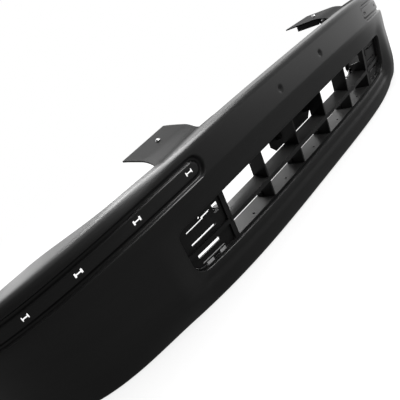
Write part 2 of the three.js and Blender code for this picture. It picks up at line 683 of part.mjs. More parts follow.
// A brace under the tower: a plate with three ribs, held by the tower's screw.
function towerBrace() {
  const plate = (s0, s1, e0, e1, w0, w1) => {
    const box = new THREE.BoxGeometry(s1 - s0, e1 - e0, w1 - w0);
    box.translate((s0 + s1) / 2, (e0 + e1) / 2, (w0 + w1) / 2);
    return solid(bend(box, (s, e, w) => towerPlace(s, e, w0 + w1 - w)));
  };
  const under = WALL + GAP;
  const [low, high] = [0.42 * TOWER_RUN, TOWER_RUN - 16];
  const pieces = [plate(BRACE_FROM, BRACE_TO, low, high, under, under + BRACE_THICK)];
  for (const s of BRACE_RIBS) {
    pieces.push(plate(s, s + BRACE_THICK, low + 1, high - 1, under + 1, under + BRACE_RIB_HEIGHT));
  }
  const seat = towerSeat(1).addScaledVector(DOWN, -8);
  return cut(join(pieces), [rod(seat, DOWN, SCREW_HOLE, 24)]);
}

// The guide under the wing's top flange, which slides onto the wing's bracket: a plate, a
// wall down behind the cover and a lip turned back at its foot.
function sideRetainer() {
  const under = TOP_Z - WALL - 2;
  const foot = under - RETAINER_HEIGHT;
  const strip = (inset, d0, d1, z0, z1) => {
    const box = new THREE.BoxGeometry(RETAINER_TO - RETAINER_FROM - 2 * inset, d1 - d0, z1 - z0, 6, 1, 1);
    box.translate((RETAINER_FROM + RETAINER_TO) / 2, (d0 + d1) / 2, (z0 + z1) / 2);
    return solid(bend(box, (s, d, z) => place(rounded(s), d, z)));
  };
  const pieces = [
    strip(0, 16, 33, under - BRACE_THICK, under),
    strip(0.5, 16.5, 16.5 + BRACE_THICK, foot, under - 1),
    strip(10, 17, 27, foot + 0.5, foot + BRACE_THICK),
  ];
  const holes = RETAINER_AT.map((s) => rod(retainerSeat(1, s), DOWN, SCREW_HOLE, 14));
  return cut(join(pieces), holes);
}

addPair('tower_brace', towerBrace(), { color: 0x202224, roughness: 0.5 });
addPair('side_retainer', sideRetainer(), { color: 0x2a2b2d, roughness: 0.55 });

// ---------------------------------------------------------------- fasteners

const HEM_SCREW_LENGTH = 2 * GAP + WALL + GRILLE_WALL + 0.2; // ends just inside the frame
hemSeats().forEach(({ name, at, way }, i) => {
  screw(`grille_screw_${name}_${i + 1}`, at, way, HEM_SCREW_LENGTH);
});
for (const [label, side] of [['left', -1], ['right', 1]]) {
  BLANK_SCREW_Z.forEach((z, i) => {
    screw(`blank_screw_${label}_${i + 1}`, blankSeat(side, z), outward(side * POST_AT), 14);
  });
  RETAINER_AT.forEach((s, i) => screw(`retainer_screw_${label}_${i + 1}`, retainerSeat(side, s), DOWN, 13));
  screw(`panel_screw_${label}`, panelSeat(side), PANEL_WAY, 14);
  screw(`tower_screw_${label}`, towerSeat(side).add(new THREE.Vector3(0, 0, 1.5)), DOWN, 12);
}

// The row's origin is the middle of the footprint, at the lower edge.
cover.updateMatrixWorld(true);
const bounds = new THREE.Box3().setFromObject(cover);
cover.position.y = -(bounds.min.y + bounds.max.y) / 2;

export default cover;
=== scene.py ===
import bpy
import numpy as np
from mathutils import Euler, Matrix, Vector


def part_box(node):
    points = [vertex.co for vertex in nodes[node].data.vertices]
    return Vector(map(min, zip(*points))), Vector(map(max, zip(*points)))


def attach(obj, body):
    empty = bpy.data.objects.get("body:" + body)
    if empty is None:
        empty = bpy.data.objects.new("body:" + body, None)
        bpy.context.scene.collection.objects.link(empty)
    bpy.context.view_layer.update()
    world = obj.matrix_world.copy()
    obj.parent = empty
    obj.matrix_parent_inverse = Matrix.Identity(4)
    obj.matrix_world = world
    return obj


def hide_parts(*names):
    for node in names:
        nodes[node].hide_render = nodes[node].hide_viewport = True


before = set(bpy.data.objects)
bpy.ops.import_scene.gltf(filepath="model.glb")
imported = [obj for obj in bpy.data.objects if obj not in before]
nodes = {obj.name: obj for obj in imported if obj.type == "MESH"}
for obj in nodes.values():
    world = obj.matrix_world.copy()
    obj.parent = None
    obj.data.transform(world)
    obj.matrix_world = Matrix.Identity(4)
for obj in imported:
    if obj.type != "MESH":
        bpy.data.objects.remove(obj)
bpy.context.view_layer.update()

# ---------------------------------------------------------------- camera
# A stand in front of the left corner of the cover, a little above its top edge. It is
# turned about its own axis, so that the cover runs up across the picture.
CAMERA_AT = Vector((-0.9411, -0.8574, 0.4284))
CAMERA_TURN = 38.997    # degrees to the right of straight at the face
CAMERA_DOWN = 15.523
CAMERA_ROLL = 32.316
LENS = 48.62            # on a 36 mm sensor


def aim_camera():
    """Looks along +Y, turned right, then down, then rolled about the line of sight."""
    data = bpy.data.cameras.new("camera")
    data.lens = LENS
    data.sensor_width = 36.0
    data.clip_start = 0.02
    turn = Euler(np.radians((90 - CAMERA_DOWN, 0, -CAMERA_TURN)), "XYZ").to_matrix()
    roll = Matrix.Rotation(np.radians(-CAMERA_ROLL), 3, "Z")
    camera = bpy.data.objects.new("camera", data)
    camera.matrix_world = Matrix.Translation(CAMERA_AT) @ (turn @ roll).to_4x4()
    bpy.context.scene.collection.objects.link(camera)
    bpy.context.scene.camera = camera


aim_camera()

# ---------------------------------------------------------------- studio
# White paper that the cover stands on, a long soft light overhead and a weak one in front. A
# low white wall stands behind and to the right, and the rest of the room is dark, so the near
# side of the face stays black and the far side gets a sheen.
FLOOR_SIZE = 60.0
ROOM_WHITE, ROOM_DARK, WALL_WHITE = 1.0, 0.12, 1.7
WALL_TURN = (0.62, 0.78)        # the way to the middle of the wall
WALL_EASE = (-0.05, 0.8)        # where it fades in round the room, as a cosine
WALL_TOP = (0.28, 0.52)         # where it fades out upwards, as a sine
WALL_ABOVE = 0.15               # what is left of it above that
PAPER_WHITE, PAPER_BOUNCE = 0.93, 0.20      # as the camera sees it, and as light bounces off it
PAPER_GLOW = 0.85                           # share of its own light near the cover
FADE_FROM, FADE_TO = 0.9, 2.2               # m from the cover's middle
SHINE_LEFT, SHINE_RIGHT = 0.16, 1.1         # what gloss sees of the paper on either side
SHINE_TURN = (0.7, 1.3)                     # m to the right, where one goes over to the other


class Signal:
    """A number that varies over a surface; each operator adds the Math node that it names."""

    def __init__(self, paint, socket):
        self.paint = paint
        self.socket = socket

    def maths(self, operation, *values):
        sockets = dict(enumerate(values))
        made = self.paint.node("ShaderNodeMath", {"operation": operation}, sockets)
        return Signal(self.paint, made.outputs[0])

    def __add__(self, other):
        return self.maths("ADD", self, other)

    def __mul__(self, other):
        return self.maths("MULTIPLY", self, other)

    def __sub__(self, other):
        return self.maths("SUBTRACT", self, other)

    def __rsub__(self, other):
        return self.maths("SUBTRACT", other, self)

    __radd__ = __add__
    __rmul__ = __mul__

    def ramp(self, low, high):
        """0 below low, 1 above high and a smooth rise between them."""
        settings = {"interpolation_type": "SMOOTHSTEP"}
        values = {"Value": self, "From Min": low, "From Max": high}
        made = self.paint.node("ShaderNodeMapRange", settings, values)
        return Signal(self.paint, made.outputs["Result"])


class Paint:
    """A material or world under construction, from its nodes up."""

    def __init__(self, owner):
        owner.use_nodes = True
        self.owner = owner
        self.tree = owner.node_tree
        self.tree.nodes.clear()

    def node(self, kind, settings=None, values=None):
        """Adds a node: its settings first, then the values or links of its sockets."""
        made = self.tree.nodes.new(kind)
        for key, value in (settings or {}).items():
            setattr(made, key, value)
        for key, value in (values or {}).items():
            if isinstance(value, Signal):
                self.tree.links.new(value.socket, made.inputs[key])
            else:
                made.inputs[key].default_value = value
        return made

    def signal(self, kind, output, settings=None, values=None):
        """One output of a new node."""
        return Signal(self, self.node(kind, settings, values).outputs[output])

    def place(self):
        """Where a point lies, in metres, in the object's own frame."""
        return self.signal("ShaderNodeTexCoord", "Object")

    def noise(self, place, scale, detail=2.0, roughness=0.5):
        """Perlin noise from 0 to 1, with its scale in waves to the metre."""
        values = {"Vector": place, "Scale": scale, "Detail": detail, "Roughness": roughness}
        return self.signal("ShaderNodeTexNoise", "Fac", None, values)

    def stretched(self, place, scale):
        """A place multiplied by a scale along each axis."""
        values = {"Vector": place, "Scale": scale}
        return self.signal("ShaderNodeMapping", "Vector", None, values)

    def blend(self, share, first, second):
        """A colour between two others; 6, 7 and output 2 are a Mix node's colour sockets."""
        settings = {"data_type": "RGBA"}
        return self.signal("ShaderNodeMix", 2, settings, {0: share, 6: first, 7: second})

    def mix(self, share, first, second):
        """A shader between two others."""
        mixed = self.node("ShaderNodeMixShader", None, {"Fac": share})
        for slot, shader in enumerate((first, second)):
            self.tree.links.new(shader.outputs[0], mixed.inputs[slot + 1])
        return mixed

    def axes(self, vector):
        """The three parts of a vector."""
        split = self.node("ShaderNodeSeparateXYZ", None, {"Vector": vector})
        return [Signal(self, output) for output in split.outputs]

    def finish(self, kind, shader):
        """Joins a shader to a new output node."""
        end = self.node(kind)
        self.tree.links.new(shader.outputs[0], end.inputs["Surface"])
        return self.owner


def grey(level, warmth=0.0):
    """An opaque grey, slightly blue below zero warmth and slightly brown above it."""
    return (level * (1 + warmth), level, level * (1 - warmth), 1.0)


def room():
    """White straight to the camera. For light and gloss there is a white wall low down behind
    the cover and to its right, and the rest of the room is dark."""
    paint = Paint(bpy.data.worlds.new("studio"))
    x, y, z = paint.axes(paint.signal("ShaderNodeTexCoord", "Generated"))
    side = x * WALL_TURN[0] + y * WALL_TURN[1]
    lower = 1 - (1 - WALL_ABOVE) * z.ramp(*WALL_TOP)
    light = ROOM_DARK + WALL_WHITE * side.ramp(*WALL_EASE) * lower
    camera = paint.signal("ShaderNodeLightPath", "Is Camera Ray")
    strength = light * (1 - camera) + ROOM_WHITE * camera
    lamp = paint.node("ShaderNodeBackground", None, {"Color": grey(1.0), "Strength": strength})
    bpy.context.scene.world = paint.finish("ShaderNodeOutputWorld", lamp)


def floor():
    """A square of white paper, far larger than the view. It fades into the white of the
    room with the distance from the cover, so no horizon shows."""
    half = FLOOR_SIZE / 2
    corners = [(-half, -half, 0), (half, -half, 0), (half, half, 0), (-half, half, 0)]
    mesh = bpy.data.meshes.new("floor")
    mesh.from_pydata(corners, [], [(0, 1, 2, 3)])
    paint = Paint(bpy.data.materials.new("white_paper"))
    where = paint.place()
    away = paint.signal("ShaderNodeVectorMath", "Value", {"operation": "LENGTH"}, {0: where})
    camera = paint.signal("ShaderNodeLightPath", "Is Camera Ray")
    tone = paint.blend(camera, grey(PAPER_BOUNCE), grey(PAPER_WHITE))
    near = paint.node("ShaderNodeBsdfDiffuse", None, {"Color": tone})
    right = paint.axes(where)[0].ramp(*SHINE_TURN)
    shine = SHINE_LEFT + (SHINE_RIGHT - SHINE_LEFT) * right
    glow = camera + shine * (1 - camera)
    far = paint.node("ShaderNodeEmission", None, {"Color": grey(1.0), "Strength": glow})
    share = PAPER_GLOW + (1 - PAPER_GLOW) * away.ramp(FADE_FROM, FADE_TO)
    mesh.materials.append(paint.finish("ShaderNodeOutputMaterial", paint.mix(share, near, far)))
    sheet = bpy.data.objects.new("floor", mesh)
    bpy.context.scene.collection.objects.link(sheet)


def softbox(name, at, target, size, radiance):
    """A flat rectangular lamp that shines from one point towards another."""
    data = bpy.data.lights.new(name, "AREA")
    data.shape = "RECTANGLE"
    data.size, data.size_y = size
    data.energy = radiance * np.pi * size[0] * size[1]
    lamp = bpy.data.objects.new(name, data)
    way = (Vector(target) - Vector(at)).to_track_quat("-Z", "Y")
    lamp.matrix_world = Matrix.Translation(at) @ way.to_matrix().to_4x4()
    bpy.context.scene.collection.objects.link(lamp)


bpy.context.scene.view_settings.view_transform = "Standard"
room()
floor()
softbox("overhead", at=(0.6, -0.1, 2.3), target=(0.5, -0.1, 0), size=(4.6, 1.1), radiance=14.0)
softbox("front", at=(-0.6, -3.4, 1.5), target=(0, 0, 0.1), size=(1.6, 0.8), radiance=0.9)

# ---------------------------------------------------------------- the moulded cover
# One injection moulding in black polypropylene, 3 mm thick: the face, the lip under the
# intake, the top shelf with its two towers, both wings and the hem around the intake.
MM = 0.001
cover_low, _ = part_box("bumper_cover")
FACE_DEPTH = 1.5                                # the face stands this far behind the plan outline
PLAN_FRONT = cover_low.y / MM - FACE_DEPTH      # where the plan outline begins, in mm
HALF_WIDTH, PLAN_DEPTH, PLAN_POWER = 820.0, 480.0, 3.5      # the outline's superellipse
WING_REACH = 400.0              # how far back the wings run
HALF_STEPS = 4000               # steps in the table of each half of the outline
END_DROP = 72.0                 # how far the top bows down at the widest point
WALL, WALL_PLAY = 3.0, 0.2      # the solid's wall, and how much thinner this one is
FOOT_FRONT, FOOT_DEPTH, WING_TUCK = 66.0, 22.0, 0.42
TUCK_SPAN, SHELF_SPAN = (500, 740), (500, 740, 790, 920)
SHELF_NARROW, SHELF_WIDE, SHELF_END = 30.0, 105.0, 34.0
INTAKE_HALF, INTAKE_BOTTOM, INTAKE_TOP = 459.0, 64.0, 171.0
INTAKE_EASE = 60.0              # over which its edges ease back past its ends
LEAN_LOW, LEAN_HIGH = 50.0, 24.0
LOW_RADIUS, HIGH_RADIUS = 34.0, 14.0
HEM_DEPTH, HEM_ROUND = 24.0, 2.5
TOP_Z = 282.0
CHANNEL_Z, CHANNEL_HALF, CHANNEL_START = TOP_Z - 40.0, 22.2, 372.0
GROOVE, LAND = 8.0, 4.5                         # depths of the channel's parts
GROOVE_EASE, LAND_EASE = (0, 4.5), (7.5, 12.5)  # and where they turn, in from its edge
SLOT_AT = (382.0, 502.0, 612.0, 697.0)
SLOT_LINES = np.array([-11.0, -8.0, -6.2, -4.5, -1.5, 1.5, 4.5, 6.2, 8.0, 11.0])
SLOT_CLEAR = 12.5               # other grid lines keep this far from a slot's middle
DIMPLE_AT, DIMPLE_DEPTH, DIMPLE_EASE = 89.0, 3.4, (0.5, 9.5)
TOWER_INNER, TOWER_OUTER, TOWER_RISE, TOWER_LIFT = 273.0, 396.0, 17.0, 3.4
TOWER_FOOT, TOWER_RUN, FIRST_STEP = 28.0, 134.0, 3.0
TOWER_SPREAD = (27, 28)         # the foot reaches this far past the head, inwards and outwards
TOWER_ROWS, TOWER_CROWD = 31, 1.4                   # rows up its slope, closer at the foot
INNER_SWEEP, OUTER_SWEEP = (35, 28, 2.4), (23, 40, 2.2)     # reach, height and power
INNER_NECK, OUTER_NECK = (9, 24), (5, 40)       # how far a side stands past the head's corner
                                                # at the neck, and the neck's height
SCOOP, SCOOP_AT, SCOOP_WIDE, SCOOP_FROM = 8.0, 24, 19, 14   # the dip behind the shelf's edge
FLAT_FROM = 30                  # the tower is flat this far up
OUTER_DROP = 8                  # the outer corner is this much lower than the inner one
ARCH_RADIUS, ARCH_Y, ARCH_Z, ARCH_FROM = 330.0, 700.0, 60.0, 720.0
FLANGE_STEPS = ((0.1, 0.1), (0.15, 0.5), (0.15, 5.0), (0.15, 12.0))     # onward and inward
FLANGE_FOOT, FLANGE_HEAD, FLANGE_LEAST = (6, 24), (246, 266), 0.15


def smooth(value, low, high):
    """0 below low, 1 above high and a cubic ease between them."""
    t = np.clip((value - low) / (high - low), 0, 1)
    return t * t * (3 - 2 * t)


def lerp(a, b, t):
    """From a at t = 0 to b at t = 1, in a straight line."""
    return a + (b - a) * t


def plan_tables():
    """The superellipse |x/W|^n + ((D-y)/D)^2 = 1 walked by an angle: length, x, y, slope."""
    angle = np.linspace(-1, 1, 2 * HALF_STEPS + 1) * np.arccos(1 - WING_REACH / PLAN_DEPTH)
    x = np.sign(angle) * HALF_WIDTH * np.abs(np.sin(angle)) ** (2 / PLAN_POWER)
    y = PLAN_DEPTH * (1 - np.cos(angle))
    length = np.concatenate([[0], np.cumsum(np.hypot(np.diff(x), np.diff(y)))])
    length -= length[-1] / 2
    return length, x, y, np.gradient(x, length), np.gradient(y, length)


PLAN_S, PLAN_X, PLAN_Y, PLAN_TX, PLAN_TY = plan_tables()
HALF_LENGTH = PLAN_S[-1]


def station_at(x):
    """The length along the outline, from its middle, at which it is x to the side."""
    return np.sign(x) * np.interp(np.abs(x), PLAN_X[HALF_STEPS:], PLAN_S[HALF_STEPS:])


def drop(x, z):
    """The top of the cover bows down towards the wings with the cube of the distance."""
    share = np.clip((z - INTAKE_BOTTOM) / (INTAKE_TOP - INTAKE_BOTTOM), 0, 1)
    return END_DROP * (np.abs(x) / HALF_WIDTH) ** 3 * share


def place(s, depth, z):
    """The point at a length along the plan outline, a depth behind it and a height."""
    s, depth, z = np.broadcast_arrays(s, depth, z)
    x, y = np.interp(s, PLAN_S, PLAN_X), np.interp(s, PLAN_S, PLAN_Y)
    tx, ty = np.interp(s, PLAN_S, PLAN_TX), np.interp(s, PLAN_S, PLAN_TY)
    height = z - drop(x, z)
    return np.stack([x - ty * depth, y + tx * depth + PLAN_FRONT, height], -1) * MM


def lean(z):
    """Depth of the intake's plane, whose lower edge lies further back."""
    return lerp(LEAN_LOW, LEAN_HIGH, (z - INTAKE_BOTTOM) / (INTAKE_TOP - INTAKE_BOTTOM))


def shelf_back(s):
    """How far back the shelf runs: narrow, except under the lamps' outer ends."""
    x = np.abs(s)
    a, b, c, d = SHELF_SPAN
    inner = lerp(SHELF_NARROW, SHELF_WIDE, smooth(x, a, b))
    return np.where(x > b, lerp(SHELF_WIDE, SHELF_END, smooth(x, c, d)), inner)


# The section from the foot to the back of the shelf, as depth and height: in the middle,
# with a rolled lip under the intake, and at the corners, where it is fuller and plain.
MIDDLE = np.array([[88, 0.3], [66, 0.3], [57, 4], [49, 24], [46, 36], [50, 49], [47, 57], [50, 64],
                   [38, 118], [24, 171], [12, 192], [4, 210], [1.5, 220], [1.5, 223.5], [1.5, 232],
                   [1.5, 238.5], [1.5, 240.5], [1.5, 243.5], [1.5, 245.5], [1.5, 252],
                   [1.5, 260.5], [1.5, 264], [1.5, 271], [4, 278], [9, 281.5], [16, 282],
                   [30, 283]], float)
CORNER = np.array([[88, 0.3], [66, 0.3], [56, 4], [43, 24], [37, 36], [32, 49], [29, 57], [27, 64],
                   [19, 118], [12, 171], [7, 192], [3, 210], [1.5, 220], [1.5, 223.5], [1.5, 232],
                   [1.5, 238.5], [1.5, 240.5], [1.5, 243.5], [1.5, 245.5], [1.5, 252],
                   [1.5, 260.5], [1.5, 264], [3, 271], [7, 278], [14, 283], [24, 285],
                   [34, 286]], float)
SPLITS = (4, 3, 5, 4, 5, 3, 3, 7, 7, 5, 5, 4, 4, 7, 4, 2, 2, 2, 4, 7, 4, 4, 5, 5, 4, 8)
LAST_KNOT = len(SPLITS)
LOW_ROW = sum(SPLITS[:7])       # the row along the intake's lower edge
HIGH_ROW = sum(SPLITS[:9])      # and the one along its upper edge
SLOT_FOOT_ROWS = slice(sum(SPLITS[:15]), sum(SPLITS[:18]))
SLOT_SLIT_ROWS = slice(sum(SPLITS[:16]), sum(SPLITS[:17]))
SOFTENINGS = 3                  # times that the running mean goes over the section
HOLD_BELOW, HOLD_ABOVE = 3, 5   # rows beside the intake that give way to its edges
LOWER_KNOTS = 12                # knots before this one belong to the lip and the lower face
LOWER_TURN, UPPER_TURN = (432, 512), (375, 520)     # where the middle becomes the corner


def knot(index, s):
    """One corner point of the section, at every station."""
    lower, away = index < LOWER_KNOTS, np.abs(s)
    share = np.where(lower, smooth(away, *LOWER_TURN), smooth(away, *UPPER_TURN))
    tuck = np.where(lower, lerp(1.0, WING_TUCK, smooth(away, *TUCK_SPAN)), 1.0)
    depth = lerp(MIDDLE[index, 0], CORNER[index, 0] * tuck, share)
    depth = np.where(index == 0, FOOT_FRONT * tuck + FOOT_DEPTH, depth)
    depth = np.where(index == LAST_KNOT, shelf_back(s), depth)
    return depth, lerp(MIDDLE[index, 1], CORNER[index, 1], share)


def section(s):
    """Rows of depth and height between the corner points, softened by a running mean."""
    first = np.repeat(np.arange(LAST_KNOT), SPLITS)
    part = np.concatenate([np.arange(n) / n for n in SPLITS])
    first = np.append(first, LAST_KNOT - 1)[:, None]
    part = np.append(part, 1.0)[:, None]
    (d0, z0), (d1, z1) = knot(first, s), knot(first + 1, s)
    depth, z = lerp(d0, d1, part), lerp(z0, z1, part)
    for _ in range(SOFTENINGS):
        depth[1:-1] = (depth[:-2] + 2 * depth[1:-1] + depth[2:]) / 4
        z[1:-1] = (z[:-2] + 2 * z[1:-1] + z[2:]) / 4
    return depth, z


def corner_rise(s, half, radius):
    """How far a rounded corner stands in from a straight edge, near the end of a span."""
    beyond = np.clip(np.abs(s) - half + radius, 0, radius)
    return radius - np.sqrt(radius ** 2 - beyond ** 2)


def intake_edges(s, grow):
    """Lower and upper edge of the intake at a station; past its ends they ease back."""
    half = INTAKE_HALF + grow
    fade = 1 - smooth(np.abs(s), half, half + INTAKE_EASE)
    low = INTAKE_BOTTOM - grow + corner_rise(s, half, LOW_RADIUS + grow) * fade
    high = INTAKE_TOP + grow - corner_rise(s, half, HIGH_RADIUS + grow) * fade
    return low, high


def respaced(s, depth, z):
    """Moves the rows beside the intake so that two of them lie along its edges."""
    low, high = intake_edges(s[LOW_ROW], HEM_ROUND)
    below, above = LOW_ROW - HOLD_BELOW, HIGH_ROW + HOLD_ABOVE
    anchors = [(below, z[below]), (LOW_ROW, low), (HIGH_ROW, high), (above, z[above])]
    new = z.copy()
    for (i0, za), (i1, zb) in zip(anchors[:-1], anchors[1:]):
        share = (z[i0:i1 + 1] - z[i0]) / (z[i1] - z[i0])
        new[i0:i1 + 1] = lerp(za, zb, share)
    moved = depth.copy()
    rows = slice(below, above + 1)
    for j in range(s.shape[1]):
        moved[below:above, j] = np.interp(new[below:above, j], z[rows, j], depth[rows, j])
    return moved, new


def recess(s, z):
    """Depth of the trim-strip channel, two grooves and a raised land, and of the dimples."""
    beyond = np.maximum(0, CHANNEL_START - np.abs(s))
    across = CHANNEL_HALF - np.hypot(beyond, z - CHANNEL_Z)
    channel = GROOVE * smooth(across, *GROOVE_EASE) + (LAND - GROOVE) * smooth(across, *LAND_EASE)
    away = np.hypot(np.abs(s) - DIMPLE_AT, z - CHANNEL_Z)
    return channel + DIMPLE_DEPTH * (1 - smooth(away, *DIMPLE_EASE))


def columns():
    """Stations of the grid, closer together wherever the surface turns quickly, with lines
    along both ends and both necks of every clip slot."""
    bend = np.sin(np.radians(np.linspace(0, 90, 13)))
    low_bend = INTAKE_HALF - LOW_RADIUS + (LOW_RADIUS + HEM_ROUND) * bend
    slots = station_at(np.array(SLOT_AT))
    half = np.concatenate([
        np.linspace(0, 76, 6),                              # the middle
        np.linspace(78, 100, 12),                           # a dimple
        np.linspace(108, 204, 8), np.linspace(212, 240, 4),
        TOWER_INNER - TOWER_SPREAD[0] + np.linspace(0, 90, 19),     # the tower's inner side
        np.linspace(342, 346, 2), np.linspace(349, 367, 13),    # the channel's round end
        np.linspace(396, 426, 9),                           # the tower's outer side
        low_bend, np.linspace(468, 488, 3),
        np.linspace(528, HALF_LENGTH, 34)])                 # the wing
    half = half[np.min(np.abs(half[:, None] - slots), 1) > SLOT_CLEAR]
    half = np.unique(np.round(np.append(half, slots[:, None] + SLOT_LINES), 3))
    return np.concatenate([-half[:0:-1], half])


def trimmed(s):
    """Draws the rows in at the wings, so that their ends follow the wheel arch."""
    end_z = section(s[:, -1:])[1][:, 0]
    end_z = end_z - drop(HALF_WIDTH, end_z)
    reach = ARCH_Y - np.sqrt(np.maximum(ARCH_RADIUS ** 2 - (end_z - ARCH_Z) ** 2, 0))
    reach = np.minimum(reach, WING_REACH)
    end_s = np.interp(reach, PLAN_Y[HALF_STEPS:], PLAN_S[HALF_STEPS:])[:, None]
    stretch = (end_s - ARCH_FROM) / (HALF_LENGTH - ARCH_FROM)
    outer = ARCH_FROM + (np.abs(s) - ARCH_FROM) * stretch
    return np.where(np.abs(s) > ARCH_FROM, np.sign(s) * outer, s)


def skin_points(s2, depth, z):
    """The grid's points, pushed in along the surface's own normal by the recesses."""
    base = place(s2, depth, z)
    along, up = np.gradient(base, axis=1), np.gradient(base, axis=0)
    inward = np.cross(up, along)
    inward /= np.maximum(np.linalg.norm(inward, axis=-1, keepdims=True), 1e-12)
    return base + inward * (recess(s2, z) * MM)[..., None]


def quads(index):
    """Faces of a grid of vertex numbers, as quads whose fronts face the reader."""
    around = index[:-1, :-1], index[:-1, 1:], index[1:, 1:], index[1:, :-1]
    return np.stack(around, -1).reshape(-1, 4)


class Shell:
    """Vertices and faces that are gathered piece by piece."""

    def __init__(self):
        self.points, self.faces, self.count = [], [], 0

    def add(self, points):
        """Takes in points and returns their vertex numbers."""
        points = np.asarray(points).reshape(-1, 3)
        index = self.count + np.arange(len(points))
        self.points.append(points)
        self.count += len(points)
        return index

    def face(self, rows):
        """Takes in faces, one row of vertex numbers each."""
        self.faces.append(np.asarray(rows))

    def mesh(self, name):
        """A mesh of the faces gathered so far, without the points that none of them uses."""
        points, faces = np.concatenate(self.points), np.concatenate(self.faces)
        used, compact = np.unique(faces, return_inverse=True)
        points, faces = points[used], compact.reshape(faces.shape)
        made = bpy.data.meshes.new(name)
        made.vertices.add(len(points))
        made.vertices.foreach_set("co", points.astype(np.float32).ravel())
        made.loops.add(faces.size)
        made.loops.foreach_set("vertex_index", faces.astype(np.int32).ravel())
        made.polygons.add(len(faces))
        starts = np.arange(0, faces.size, faces.shape[1], dtype=np.int32)
        made.polygons.foreach_set("loop_start", starts)
        made.update(calc_edges=True)
        made.validate()
        made.shade_smooth()
        return made


def hem_rows(points_s, points_z, face_depth):
    """From the face round a small radius and back along the intake's wall."""
    ds, dz = np.gradient(points_s), np.gradient(points_z)
    for edge in (ds, dz):
        edge[0] = edge[-1] = (edge[0] + edge[-1]) / 2
    size = np.maximum(np.hypot(ds, dz), 1e-9)
    in_s, in_z = -dz / size, ds / size
    rows = []
    for turn in np.radians([0, 22, 45, 68, 90]):
        inset = HEM_ROUND * np.sin(turn)
        rows.append((inset, HEM_ROUND * (1 - np.cos(turn)), 0.0))
    rows += [(HEM_ROUND, HEM_ROUND, t) for t in np.linspace(0.12, 1, 6)]
    inset, back, share = (np.array(r)[:, None] for r in zip(*rows))
    s, z = points_s + in_s * inset, points_z + in_z * inset
    depth = lerp(face_depth + back, lean(z) + HEM_DEPTH, share)
    return s, depth, z


def tower_plane(side, x, up):
    """A point of a tower's flat face: across it from its inner end, and up its slope."""
    feet = station_at(np.array([TOWER_INNER, TOWER_OUTER]))
    inner, outer = place(feet, TOWER_FOOT, TOP_Z + TOWER_LIFT)
    along = (outer - inner) / np.linalg.norm(outer - inner)
    normal = np.cross(along, [0, TOWER_RUN, TOWER_RISE])
    rise = np.cross(normal / np.linalg.norm(normal), along)
    across = ((x - TOWER_INNER) * MM)[..., None] * along
    return (inner + across + (up * MM)[..., None] * rise) * [side, 1, 1]


def sweep(up, reach, high, power):
    """The whole reach at the foot, and less with a power of what is left of the height."""
    return reach * np.clip(1 - up / high, 0, 1) ** power


def tower_patch(side, base):
    """A flat panel that rises from the shelf's rear edge. Rows go up its slope from that
    edge, with a dip behind it. Both sides sweep in to a neck, then run up to the corners."""
    v = np.linspace(0, 1, TOWER_ROWS)[:, None] ** TOWER_CROWD
    up = lerp(FIRST_STEP, TOWER_RUN, v)
    (inner, neck_in), (outer, neck_out) = INNER_NECK, OUTER_NECK
    left = TOWER_INNER + inner - sweep(up, *INNER_SWEEP) - inner * smooth(up, neck_in, TOWER_RUN)
    right = TOWER_OUTER + outer + sweep(up, *OUTER_SWEEP) - outer * smooth(up, neck_out, TOWER_RUN)
    x = np.abs(base[:, 0]) / MM
    share = (x - x.min()) / np.ptp(x)
    slope = up * lerp(1.0, 1 - OUTER_DROP / TOWER_RUN, share)
    face = tower_plane(side, lerp(left, right, share), slope)
    dip = SCOOP * np.exp(-((up - SCOOP_AT) / SCOOP_WIDE) ** 2) * smooth(up, FIRST_STEP, SCOOP_FROM)
    face[..., 2] = lerp(base[:, 2], face[..., 2], smooth(up, 0, FLAT_FROM)) - dip * MM
    face[0] = base
    return face


def cover_mesh():
    """The grid of the skin with the intake left out, and everything that turns in from it."""
    shell = Shell()
    s1 = columns()
    s2 = trimmed(s1[None, :])
    depth, z = section(s2)
    depth, z = respaced(s2, depth, z)
    points = skin_points(s2, depth, z)
    index = shell.add(points).reshape(points.shape[:2])
    keep = np.ones((index.shape[0] - 1, index.shape[1] - 1), bool)
    half = INTAKE_HALF + HEM_ROUND + 0.01
    inside = np.flatnonzero(np.abs(s1) <= half)
    left, right = inside[0], inside[-1]
    keep[LOW_ROW:HIGH_ROW, left:right] = False
    for side in (-1, 1):
        for x in SLOT_AT:
            punch(keep, s1, side * station_at(x))
    shell.face(quads(index)[keep.ravel()])
    rim = np.concatenate([index[LOW_ROW, left:right], index[LOW_ROW:HIGH_ROW, right],
                          index[HIGH_ROW, right:left:-1], index[HIGH_ROW:LOW_ROW:-1, left]])
    flat = (s2 + np.zeros_like(z)).ravel(), z.ravel(), depth.ravel()
    loop = np.append(rim, rim[0])
    ring = place(*hem_rows(flat[0][loop], flat[1][loop], flat[2][loop]))
    rows = shell.add(ring[1:, :-1]).reshape(ring.shape[0] - 1, -1)
    rows = np.concatenate([rim[None], rows])
    shell.face(quads(np.concatenate([rows, rows[:, :1]], 1)))
    for side in (-1, 1):
        x = side * points[-1, :, 0] / MM
        foot = (x > TOWER_INNER - TOWER_SPREAD[0]) & (x < TOWER_OUTER + TOWER_SPREAD[1])
        chosen = np.flatnonzero(foot)[::side]
        tower = tower_patch(side, points[-1, chosen])
        rows = shell.add(tower[1:]).reshape(tower.shape[0] - 1, -1)
        rows = np.concatenate([index[-1, chosen][None], rows])
        shell.face(quads(rows if side > 0 else rows[:, ::-1]))
        edge = index[:, -1] if side > 0 else index[:, 0]
        turned = [shell.add(row) for row in arch_flange(side, points, z[:, -1])]
        rows = np.stack([edge] + turned)
        shell.face(quads(rows.T if side > 0 else rows.T[:, ::-1]))
    return shell.mesh("cover_moulding")


